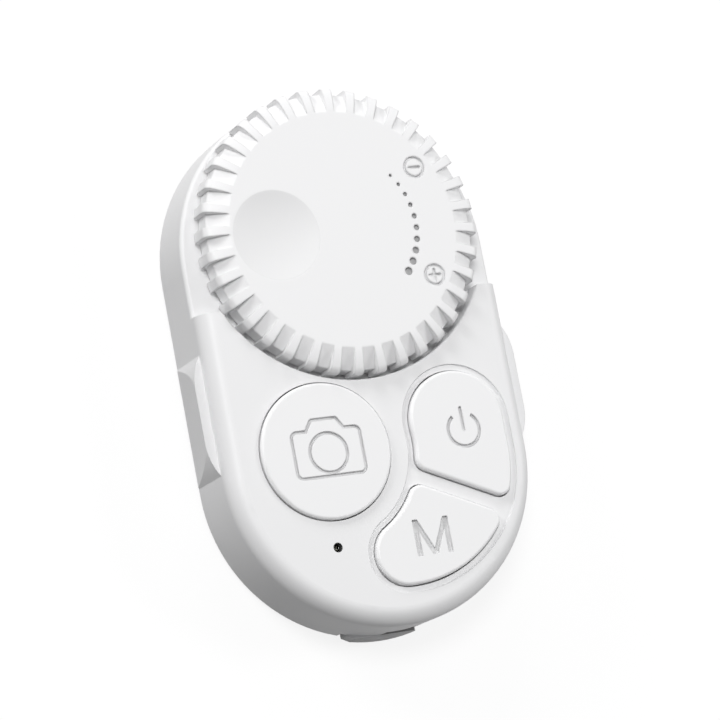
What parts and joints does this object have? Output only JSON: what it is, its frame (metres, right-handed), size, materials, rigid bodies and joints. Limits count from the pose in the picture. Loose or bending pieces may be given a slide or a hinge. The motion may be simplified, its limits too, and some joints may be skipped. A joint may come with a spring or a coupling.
{
  "type": "bluetooth phone remote",
  "caption": "Handheld oval phone remote with a fluted scroll dial, push keys, a status light, a charge socket and a lanyard bar.",
  "frame": {"origin": "middle of the footprint, on the flat back face that the remote lies on", "axes": "+Z out of the back towards the keys, +Y along the body from the keys towards the dial, +X to the right when the keys face the viewer and the dial is at the top"},
  "size_m": [0.0404, 0.0637, 0.0121],
  "materials": {
    "case_plastic": "satin white moulded plastic",
    "cover_plastic": "fine matt white moulded plastic",
    "dial_plastic": "satin white moulded plastic",
    "key_plastic": "satin white moulded plastic",
    "nylon": "natural, slightly waxy",
    "spring_steel": "bright spring steel",
    "nickel": "nickel plated magnet",
    "chip_black": "matt moulded epoxy",
    "board_green": "green solder mask over copper",
    "crystal_can": "plated lid",
    "ceramic_white": "fired ceramic",
    "ceramic_tan": "fired ceramic with tinned ends",
    "led_body": "clear resin on white",
    "clear_acrylic": "clear polished acrylic",
    "cell_foil": "silver pouch foil",
    "foam_tape": "black double sided foam tape",
    "lead_red": "silicone sleeve",
    "lead_black": "silicone sleeve",
    "socket_steel": "plated stainless steel",
    "tongue_black": "black liquid crystal polymer",
    "screw_steel": "zinc plated",
    "switch_black": "black moulded nylon",
    "plunger_white": "white acetal"
  },
  "bodies": {
    "case": {"front_housing": "case_plastic", "rear_cover": "cover_plastic", "dial_glide_ring": "nylon", "detent_spring": "nylon", "hall_sensor": "chip_black", "shutter_switch": "switch_black", "power_switch": "switch_black", "mode_switch": "switch_black", "main_board": "board_green", "radio_chip": "chip_black", "charge_chip": "chip_black", "crystal": "crystal_can", "chip_antenna": "ceramic_white", "board_capacitors": "ceramic_tan", "status_led": "led_body", "light_pipe": "clear_acrylic", "battery_cell": "cell_foil", "battery_tape": "foam_tape", "battery_lead_plus": "lead_red", "battery_lead_minus": "lead_black", "charge_socket_shell": "socket_steel", "charge_socket_tongue": "tongue_black", "case_screws": "screw_steel", "board_screws": "screw_steel"},
    "dial": {"scroll_dial": "dial_plastic", "dial_retaining_ring": "spring_steel", "detent_ring": "nylon", "encoder_magnet": "nickel"},
    "shutter_key": {"shutter_button": "key_plastic"},
    "power_key": {"power_button": "key_plastic"},
    "mode_key": {"mode_button": "key_plastic"},
    "shutter_switch_plunger": {"shutter_plunger": "plunger_white"},
    "power_switch_plunger": {"power_plunger": "plunger_white"},
    "mode_switch_plunger": {"mode_plunger": "plunger_white"}
  },
  "joints": [
    {"name": "dial_spin", "type": "hinge", "parent": "case", "child": "dial", "pos_m": [0, 0.01487, 0.008], "axis": [0, 0, 1], "continuous": true},
    {"name": "shutter_press", "type": "slide", "parent": "case", "child": "shutter_key", "axis": [0, 0, -1], "range_m": [0, 0.0003], "stiffness_N_per_m": 1500},
    {"name": "power_press", "type": "slide", "parent": "case", "child": "power_key", "axis": [0, 0, -1], "range_m": [0, 0.0003], "stiffness_N_per_m": 1500},
    {"name": "mode_press", "type": "slide", "parent": "case", "child": "mode_key", "axis": [0, 0, -1], "range_m": [0, 0.0003], "stiffness_N_per_m": 1500},
    {"name": "shutter_plunger_travel", "type": "slide", "parent": "case", "child": "shutter_switch_plunger", "axis": [0, 0, -1], "range_m": [0, 0.0003]},
    {"name": "power_plunger_travel", "type": "slide", "parent": "case", "child": "power_switch_plunger", "axis": [0, 0, -1], "range_m": [0, 0.0003]},
    {"name": "mode_plunger_travel", "type": "slide", "parent": "case", "child": "mode_switch_plunger", "axis": [0, 0, -1], "range_m": [0, 0.0003]}
  ],
  "couplings": [
    {"joint": "shutter_plunger_travel", "follows": "shutter_press", "ratio": 1},
    {"joint": "power_plunger_travel", "follows": "power_press", "ratio": 1},
    {"joint": "mode_plunger_travel", "follows": "mode_press", "ratio": 1}
  ]
}
